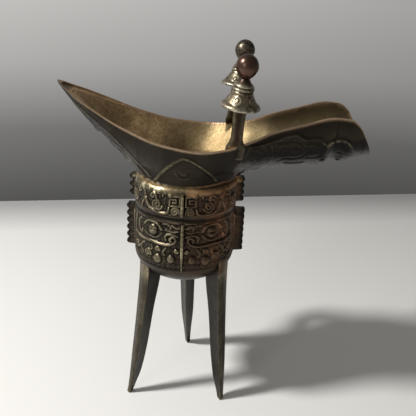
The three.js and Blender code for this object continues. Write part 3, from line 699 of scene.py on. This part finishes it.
def capped_post(side, foot_x, cap, ball):
    centre = Vector((cap[0], side * cap[1], cap[2]))
    lean = Vector((ball[0], side * ball[1], ball[2])) - centre
    upright = np.array(Vector((0, 0, 1)).rotation_difference(lean.normalized()).to_matrix())
    angles = np.linspace(0, 2 * math.pi, 84, endpoint=False)
    profile = np.array(cap_profile(lean.length))
    rings = lathe_rings(profile, angles)
    relief = cap_relief(angles[None, :], profile[:, 1:2])
    rings[..., :2] *= (1 + relief / profile[:, :1])[..., None]
    bell = loft("cap", rings @ upright.T + np.array(centre))
    flare, root = through(POST_FLARE), through(POST_ROOT)
    post = []
    for height in np.linspace(0, POST_FLARE[-1][0], 40):
        z = POST_FOOT_Z + height
        x = foot_x + (cap[0] - foot_x) * height / (cap[2] - POST_FOOT_Z)
        along, across = POST_HALF[0] * float(flare(height)), POST_HALF[1] * float(root(height))
        rim = float(rim_z(x))
        if side > 0:
            clear = float(smoothstep(z, rim - 1, rim + 4))
            along *= FAR_POST_FOOT[0] + (1 - FAR_POST_FOOT[0]) * clear
            across *= FAR_POST_FOOT[1] + (1 - FAR_POST_FOOT[1]) * clear
        in_wall = float(outer_half(x, min(z, rim))) - across - POST_INSET
        y = in_wall + (cap[1] - in_wall) * float(smoothstep(z, rim - 2, rim + 12))
        ring = []
        for angle in np.linspace(0, 2 * math.pi, 24, endpoint=False):
            c, s = math.cos(angle), math.sin(angle)
            square = (abs(c) ** 5 + abs(s) ** 5) ** -0.2
            ring.append((x + along * c * square, side * y + across * s * square, z))
        post.append(ring)
    return combine(loft("post", post), bell, "UNION")


def handle():
    path = curve_points(HANDLE_PATH, 0.9)
    along = np.gradient(path, axis=0)
    along /= np.linalg.norm(along, axis=1)[:, None]
    rings = []
    for (y, z), (dy, dz) in zip(path, along):
        ring = []
        for angle in np.linspace(0, 2 * math.pi, 20, endpoint=False):
            c, s = math.cos(angle), math.sin(angle)
            square = (abs(c) ** 3 + abs(s) ** 3) ** (-1 / 3)
            lift = HANDLE_HALF_THICKNESS * s * square
            ring.append((HANDLE_HALF_WIDTH * c * square, y - dz * lift, z + dy * lift))
        rings.append(ring)
    strap = loft("handle", rings)
    for item in HANDLE_HEAD:
        combine(strap, rounded_form(*item), "UNION")
    return strap


def rounded_form(centre, size, tilt):
    angles = np.linspace(0, 2 * math.pi, 32, endpoint=False)
    turns = np.linspace(0.03, math.pi - 0.03, 18)
    rings = lathe_rings(list(zip(np.sin(turns), -np.cos(turns))), angles) * np.array(size)
    spin = np.array(Matrix.Rotation(math.radians(tilt), 3, "Y"))
    return loft("rounded_form", rings @ spin.T + np.array(centre))


def casting():
    whole = cup_form()
    combine(whole, upper_form(), "UNION")
    for item in LEGS:
        combine(whole, leg(*item), "UNION")
    for item in FLANGES:
        combine(whole, flange(*item), "UNION")
    combine(whole, handle(), "UNION")
    combine(whole, combine(upper_hollow(), cup_hollow(), "UNION"), "DIFFERENCE")
    combine(whole, tail_ledge(), "DIFFERENCE")
    for item in POSTS:
        combine(whole, capped_post(*item), "UNION")
    whole.name = "bronze_jue"
    whole.data.name = "bronze_jue"
    return whole


def mesh_arrays(mesh):
    points = np.empty(len(mesh.vertices) * 3, np.float32)
    mesh.vertices.foreach_get("co", points)
    normals = np.empty(len(mesh.vertices) * 3, np.float32)
    mesh.vertex_normals.foreach_get("vector", normals)
    edges = np.empty(len(mesh.edges) * 2, np.int32)
    mesh.edges.foreach_get("vertices", edges)
    own = points.reshape(-1, 3).astype(float) / MM - np.array(AXIS_PLACE)
    return own, normals.reshape(-1, 3).astype(float), edges.reshape(-1, 2)


def spread(values, edges, times):
    """Average of a value over the neighbours, a number of times."""
    a, b = edges.T
    size = len(values)
    count = np.bincount(a, minlength=size) + np.bincount(b, minlength=size) + 1
    for _ in range(times):
        values = (values + np.bincount(a, values[b], size) + np.bincount(b, values[a], size)) / count
    return values


def convexity(points, normals, edges):
    """How far each vertex stands out of its neighbours, for the length of the edges to them."""
    a, b = edges.T
    step = points[b] - points[a]
    length = np.maximum(np.linalg.norm(step, axis=1), 0.05)
    from_a = -(step * normals[a]).sum(axis=1) / length
    from_b = (step * normals[b]).sum(axis=1) / length
    size = len(points)
    count = np.bincount(a, minlength=size) + np.bincount(b, minlength=size)
    return (np.bincount(a, from_a, size) + np.bincount(b, from_b, size)) / np.maximum(count, 1)


def hollow_bottom(radius):
    """Height a little below the hollow's floor at distances from the axis."""
    share = np.clip(radius / (CUP_RADIUS - CUP_WALL), 0, 1)
    return BOWL_SHOULDER_Z - (BOWL_SHOULDER_Z - BOWL_BOTTOM_Z - CUP_WALL) * np.sqrt(1 - share ** 2) - 0.8


def add_attributes(mesh):
    """Point values from 0 to 1 that tell the material the part, how worn or sunk it is, and where it paints light
    and shade.
    """
    points, normals, edges = mesh_arrays(mesh)
    x, y, z = points.T
    bend = spread(convexity(points, normals, edges), edges, 1)
    wide_bend = spread(bend, edges, 6)
    radius = np.hypot(x, y)
    on_wall = (z < SHOULDER_Z + 0.2) & (z > LOWER_REGISTER[0] - 1) & (radius > CUP_RADIUS - 2)
    relief = np.where(on_wall, radius - CUP_RADIUS, 0.0)
    above_rim = z > rim_z(x) + 0.4
    upper = (z > LEDGE_Z - 0.5) & ~above_rim
    half = outer_half(x, z)
    inside_upper = upper & (half - np.abs(y) > 0.9) & (normals[:, 2] > -0.6)
    inside_cup = (z <= LEDGE_Z) & (radius < CUP_RADIUS - 1.4) & (z > hollow_bottom(radius))
    inside = spread((inside_upper | inside_cup).astype(float), edges, 1)
    post_zone = (np.abs(y) > 12) & (x > 10) & (x < 45) & above_rim
    spheres = post_zone & (z >= BALL_BOTTOM_Z)
    cap = post_zone & (z > CAP_BOTTOM_Z) & ~spheres
    below_cap = 1 - (cap | spheres)
    lower = z < LOWER_PART_TOP_Z
    rim = upper & (np.abs(z - rim_z(x)) < 0.5) & (normals[:, 2] > 0.35)
    flanges = (np.abs(y) < 1.7) & (np.abs(x) > CUP_RADIUS + 0.5) & lower & (z > 92)
    shoulder = between(z, SHOULDER_Z - 1, SHOULDER_Z + 0.5, LEDGE_Z, LEDGE_Z + 1.5) * (radius > NECK_RADIUS - 1)
    # right half of the lower part, which lies in shade: the material dulls its brass as painted shade and lightens
    # its patina as painted light
    shaded_right_half = smoothstep(x, 0, 7) * lower * (z > 88) * (1 - smoothstep(y, -4, 18))
    copper = smoothstep(x, 9, 23) * smoothstep(z, 94, 116) * lower * (1 - smoothstep(y, -12, 6)) * (1 - flanges)
    spout = smoothstep(x, 24, 34) * (1 - 0.9 * smoothstep(x, 71, 74)) * (z > LEDGE_Z) * below_cap
    faces_down = smoothstep(-normals[:, 2], 0.2, 0.6)
    values = {
        "worn": bend * 2.2,
        # sunk and low, below, mark the recesses and the relief's ground, which get painted shade
        "sunk": np.clip(-bend * 2.0, 0, 1) + np.clip(-wide_bend * 3.0, 0, 1),
        "proud": (relief - 0.15) / 0.7,
        "low": (-0.05 - relief) / 0.3 * on_wall,
        "inside": inside,
        # deep part of the tail's channel, darkened as painted shade
        "channel": inside * smoothstep(rim_half(x) - np.abs(y), 2.6, 4.2) * smoothstep(-x, 30, 44),
        "inside_tail": inside * smoothstep(-x, 2, 30),
        # inside of the spout, darkened as painted shade
        "spout_inside_shade": inside * smoothstep(x, 26, 46),
        "rim": spread(rim.astype(float), edges, 1),
        "cap": cap,
        "ball_near": spheres & (y < 0),
        "ball_far": spheres & (y > 0),
        "flange": flanges,
        "shoulder": shoulder,
        # left part of the ledge, where a highlight is painted
        "painted_shoulder_highlight": shoulder * (1 - smoothstep(x, -16, -4)),
        "shaded_right_half": shaded_right_half,
        "copper": copper,
        "leg": 1 - smoothstep(z, 76, 88),
        "upper": smoothstep(z, LEDGE_Z, LEDGE_Z + 2) * below_cap,
        "spout": spout,
        "post": post_zone * below_cap,
        # undersides of the tail and spout, darkened as painted shade
        "under": faces_down * (z > LEDGE_Z + 1) * ~post_zone * smoothstep(np.abs(x), 28, 40),
    }
    for name, value in values.items():
        layer = mesh.attributes.new(name, "FLOAT", "POINT")
        layer.data.foreach_set("value", np.clip(value, 0, 1).astype(np.float32))


def linear(red, green, blue):
    """Colour given in screen values from 0 to 255, as linear light."""
    return tuple(((v / 255 + 0.055) / 1.055) ** 2.4 if v > 10 else v / 3295 for v in (red, green, blue)) + (1.0,)


class Nodes:
    """Short names for the nodes of one tree, whose patterns lie in one kind of coordinates."""

    def __init__(self, tree, coordinates):
        self.tree = tree
        self.place = self.new("ShaderNodeTexCoord").outputs[coordinates]

    def new(self, kind):
        return self.tree.nodes.new(kind)

    def link(self, value, socket):
        if hasattr(value, "is_output"):
            self.tree.links.new(value, socket)
        else:
            socket.default_value = value

    def axes(self):
        node = self.new("ShaderNodeSeparateXYZ")
        self.link(self.place, node.inputs[0])
        return node.outputs

    def attribute(self, name):
        node = self.new("ShaderNodeAttribute")
        node.attribute_name = name
        return node.outputs["Fac"]

    def noise(self, scale, detail, roughness=0.55):
        node = self.new("ShaderNodeTexNoise")
        self.link(self.place, node.inputs["Vector"])
        node.inputs["Scale"].default_value = scale
        node.inputs["Detail"].default_value = detail
        node.inputs["Roughness"].default_value = roughness
        return node.outputs["Fac"]

    def span(self, value, low, high, to_low=0.0, to_high=1.0):
        node = self.new("ShaderNodeMapRange")
        names = ("Value", "From Min", "From Max", "To Min", "To Max")
        for name, number in zip(names, (value, low, high, to_low, to_high)):
            self.link(number, node.inputs[name])
        return node.outputs["Result"]

    def math(self, operation, a, b, clamp=True):
        node = self.new("ShaderNodeMath")
        node.operation = operation
        node.use_clamp = clamp
        self.link(a, node.inputs[0])
        self.link(b, node.inputs[1])
        return node.outputs["Value"]

    def times(self, a, b):
        return self.math("MULTIPLY", a, b)

    def mix(self, factor, a, b):
        node = self.new("ShaderNodeMix")
        node.data_type = "RGBA"
        self.link(factor, node.inputs[0])
        self.link(a, node.inputs[6])
        self.link(b, node.inputs[7])
        return node.outputs[2]

    def layers(self, colour, items):
        """Colour under layers of (mask, colour), the last one on top."""
        for mask, over in items:
            colour = self.mix(mask, colour, over)
        return colour

    def blend(self, factor, a, b):
        node = self.new("ShaderNodeMix")
        node.data_type = "FLOAT"
        self.link(factor, node.inputs[0])
        self.link(a, node.inputs[2])
        self.link(b, node.inputs[3])
        return node.outputs[0]


def wear_amount(n, fine, dull_shoulder):
    """How far the brass shows through the patina."""
    wear = n.math("ADD", n.attribute("worn"), n.times(n.attribute("proud"), 0.22))
    for share in (
        n.span(fine, 0.32, 0.6, 0.2, 1.0),
        n.span(n.noise(95, 3), 0.4, 0.6, 0.45, 0.95),
        n.span(n.attribute("spout"), 0, 1, 1, 0.35),
        n.span(n.attribute("leg"), 0, 1, 1, 0.3),
        n.span(dull_shoulder, 0, 1, 1, 0.3),
        n.span(n.attribute("flange"), 0, 1, 1, 0.1),
    ):
        wear = n.times(wear, share)
    return wear


def bronze_material():
    material = bpy.data.materials.new("bronze_patina")
    material.use_nodes = True
    shader = material.node_tree.nodes["Principled BSDF"]
    n = Nodes(material.node_tree, "Object")
    mark = n.attribute
    coarse = n.span(n.noise(38, 4), 0.38, 0.66)
    medium = n.span(n.noise(140, 5), 0.42, 0.68)
    fine = n.noise(620, 4, 0.65)
    specks = n.span(n.noise(900, 2), 0.6, 0.75)
    patches = n.span(n.noise(320, 3, 0.6), 0.48, 0.62)
    dull_shoulder = n.math("SUBTRACT", mark("shoulder"), mark("painted_shoulder_highlight"))
    wear = wear_amount(n, fine, dull_shoulder)

    # Dark patina, and the brass where it is worn away, with painted light and shade: duller brass and lighter patina
    # on the shaded right half, a painted highlight on the left of the ledge, and painted shade in the recesses and
    # under the tail and spout
    left_shoulder = n.mix(patches, linear(86, 76, 56), linear(60, 54, 42))
    # right of the ledge: golden-brown, made lighter as painted light where it lies in shade
    right_shoulder = n.mix(patches, linear(200, 158, 114), linear(146, 118, 86))
    patina = n.layers(n.mix(coarse, linear(38, 33, 28), linear(50, 45, 35)), [
        (n.times(medium, 0.4), linear(58, 40, 32)),
        # patina made lighter on the shaded right half: painted light
        (mark("shaded_right_half"), n.mix(medium, linear(60, 50, 40), linear(84, 62, 46))),
        (mark("upper"), n.mix(coarse, linear(31, 26, 22), linear(41, 35, 27))),
        (mark("leg"), n.mix(medium, linear(30, 25, 20), linear(21, 18, 15))),
        (n.times(mark("shoulder"), 0.8), n.mix(mark("shaded_right_half"), left_shoulder, right_shoulder)),
        # painted highlight on the left of the ledge
        (n.times(mark("painted_shoulder_highlight"), patches), linear(216, 208, 178)),
        (n.times(mark("copper"), medium), linear(132, 94, 70)),
    ])
    bright_brass = n.mix(fine, linear(240, 228, 192), linear(196, 178, 138))
    # duller brass on the shaded right half: painted shade
    shaded_side_brass = n.mix(mark("copper"), linear(150, 124, 96), linear(164, 124, 94))
    brass = n.mix(mark("shaded_right_half"), bright_brass, shaded_side_brass)
    post_patina = n.mix(medium, linear(54, 40, 29), linear(34, 25, 19))
    depth = n.math("ADD", mark("sunk"), mark("low"))
    outside = n.layers(patina, [
        (wear, brass),
        (mark("flange"), n.mix(wear, linear(19, 17, 15), linear(90, 78, 60))),
        (mark("post"), n.mix(wear, post_patina, brass)),
        # painted shade under the tail and spout
        (mark("under"), linear(15, 12, 10)),
        # painted shade in the sunk and low places, weaker on the shaded right half
        (n.times(depth, n.span(mark("shaded_right_half"), 0, 1, 0.85, 0.45)), linear(20, 17, 14)),
    ])

    # Golden inside with painted shade in the tail's channel and in the spout, silvery caps with painted shade in
    # their crevices, and the two balls
    gold = n.layers(n.mix(coarse, linear(152, 134, 100), linear(124, 106, 74)), [
        (n.times(medium, 0.5), linear(112, 92, 62)),
        (mark("inside_tail"), n.mix(medium, linear(214, 180, 134), linear(172, 142, 104))),
        # painted shade on the far wall of the tail's channel
        (n.times(mark("channel"), 0.4), linear(118, 96, 70)),
        # painted shade inside the spout
        (mark("spout_inside_shade"), n.mix(coarse, linear(92, 80, 58), linear(66, 58, 42))),
        (n.span(fine, 0.35, 0.62, 0.5, 0.0), linear(92, 76, 48)),
        (n.times(specks, 0.7), linear(66, 54, 36)),
    ])
    silvery = n.layers(n.mix(mark("worn"), linear(124, 114, 94), linear(228, 220, 196)), [
        (n.times(patches, 0.75), linear(66, 54, 40)),
        # painted shade in the cap's crevices
        (mark("sunk"), linear(38, 32, 24)),
    ])
    grain = n.span(fine, 0.4, 0.6)
    colour = n.layers(outside, [
        (mark("inside"), gold),
        (mark("rim"), linear(176, 146, 118)),
        (mark("cap"), silvery),
        (mark("ball_near"), n.mix(medium, linear(92, 68, 57), linear(78, 62, 53))),
        (mark("ball_far"), n.mix(grain, linear(104, 94, 80), linear(44, 39, 34))),
    ])
    n.link(colour, shader.inputs["Base Color"])

    rough = n.span(fine, 0.3, 0.7, 0.32, 0.5)
    for mask, value in (
        (wear, 0.18), (dull_shoulder, n.span(medium, 0, 1, 0.5, 0.7)), (mark("inside"), 0.5),
        (mark("cap"), 0.34), (mark("ball_near"), 0.29),
    ):
        rough = n.blend(mask, rough, value)
    n.link(rough, shader.inputs["Roughness"])
    shader.inputs["Metallic"].default_value = 0.85

    bump = n.new("ShaderNodeBump")
    bump.inputs["Distance"].default_value = 0.0002
    strength = n.blend(mark("inside"), 0.5, 0.8)
    n.link(n.blend(mark("ball_near"), strength, 0.06), bump.inputs["Strength"])
    n.link(n.math("ADD", n.times(fine, 0.6), n.times(medium, 0.5)), bump.inputs["Height"])
    n.link(bump.outputs["Normal"], shader.inputs["Normal"])
    return material


def floor_edge_y(x):
    """Y of the floor's far edge at x, both from the cup's axis."""
    (ax, ay), (bx, by) = FLOOR_EDGE
    return ay + (by - ay) / (bx - ax) * (x - ax)


def floor_material():
    """Pale, with painted shade in a band along the far edge."""
    material = bpy.data.materials.new("pale_floor")
    material.use_nodes = True
    shader = material.node_tree.nodes["Principled BSDF"]
    n = Nodes(material.node_tree, "Object")
    axes = n.axes()
    slope = floor_edge_y(1) - floor_edge_y(0)
    edge = (floor_edge_y(-AXIS_PLACE.x) + AXIS_PLACE.y) * MM
    behind = n.math("SUBTRACT", axes["Y"], n.math("MULTIPLY", axes["X"], slope, False), False)
    colour = n.mix(n.span(behind, edge - 0.085, edge - 0.01), FLOOR_PALE, FLOOR_EDGE_SHADE)
    n.link(colour, shader.inputs["Base Color"])
    shader.inputs["Roughness"].default_value = 0.55
    return material


def place_camera():
    azimuth, elevation, roll = (math.radians(v) for v in (CAMERA_AZIMUTH, CAMERA_ELEVATION, CAMERA_ROLL))
    level = math.cos(elevation)
    back = Vector((math.sin(azimuth) * level, -math.cos(azimuth) * level, math.sin(elevation)))
    right = Vector((math.cos(azimuth), math.sin(azimuth), 0))
    up = back.cross(right)
    tilted_right = right * math.cos(roll) + up * math.sin(roll)
    tilted_up = up * math.cos(roll) - right * math.sin(roll)
    camera = bpy.data.cameras.new("camera")
    camera.sensor_width = 36
    camera.lens = 36 * LENS_PIXELS / IMAGE_WIDTH
    camera.clip_start = 0.01
    holder = bpy.data.objects.new("camera", camera)
    turn = Matrix((tilted_right, tilted_up, back)).transposed().to_4x4()
    holder.matrix_world = Matrix.Translation((CAMERA_PLACE + AXIS_PLACE) * MM) @ turn
    bpy.context.scene.collection.objects.link(holder)
    bpy.context.scene.camera = holder


def floor():
    corners = [
        (-FLOOR_REACH, -FLOOR_REACH), (FLOOR_REACH, -FLOOR_REACH),
        (FLOOR_REACH, floor_edge_y(FLOOR_REACH)), (-FLOOR_REACH, floor_edge_y(-FLOOR_REACH)),
    ]
    mesh = bpy.data.meshes.new("floor")
    mesh.from_pydata([((x + AXIS_PLACE.x) * MM, (y + AXIS_PLACE.y) * MM, 0) for x, y in corners], [], [(0, 1, 2, 3)])
    made = bpy.data.objects.new("floor", mesh)
    bpy.context.scene.collection.objects.link(made)
    mesh.materials.append(floor_material())


def area_light(name, place, aim, size, watts, colour):
    lamp = bpy.data.lights.new(name, "AREA")
    lamp.shape = "DISK"
    lamp.size = size
    lamp.energy = watts
    lamp.color = colour
    holder = bpy.data.objects.new(name, lamp)
    holder.location = place
    holder.rotation_euler = (Vector(aim) - holder.location).to_track_quat("-Z", "Y").to_euler()
    bpy.context.scene.collection.objects.link(holder)


def lights():
    world = bpy.data.worlds.new("studio")
    bpy.context.scene.world = world
    world.use_nodes = True
    n = Nodes(world.node_tree, "Generated")
    axes = n.axes()
    ramp = n.new("ShaderNodeValToRGB")
    stops = ramp.color_ramp.elements
    n.link(n.span(axes["Z"], ROOM_LOW, ROOM_HIGH), ramp.inputs["Fac"])
    while len(stops) < len(ROOM_LEVELS):
        stops.new(0.5)
    for stop, (height, level) in zip(stops, ROOM_LEVELS):
        stop.position = (height - ROOM_LOW) / (ROOM_HIGH - ROOM_LOW)
        stop.color = (level, level * 0.985, level * 0.955, 1)
    background = world.node_tree.nodes["Background"]
    n.link(ramp.outputs["Color"], background.inputs["Color"])
    n.link(n.span(axes["X"], -0.6, 0.6, 1.4, 0.6), background.inputs["Strength"])
    bpy.context.scene.view_settings.view_transform = "Standard"
    middle = (0.0, 0.0, 0.08)
    area_light("key", (-0.477, -0.173, 0.69), middle, 0.1, 7.2, (1, 0.985, 0.96))
    area_light("fill", (-0.62, -1.05, 0.6), middle, 0.4, 2.0, (1, 0.98, 0.95))


place_camera()
floor()
lights()
vessel = casting()
vessel.data.materials.clear()
vessel.data.materials.append(bronze_material())
vessel.data.shade_smooth()
vessel.data.set_sharp_from_angle(angle=math.radians(50))
add_attributes(vessel.data)
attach(vessel, "root")
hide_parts(NODE)
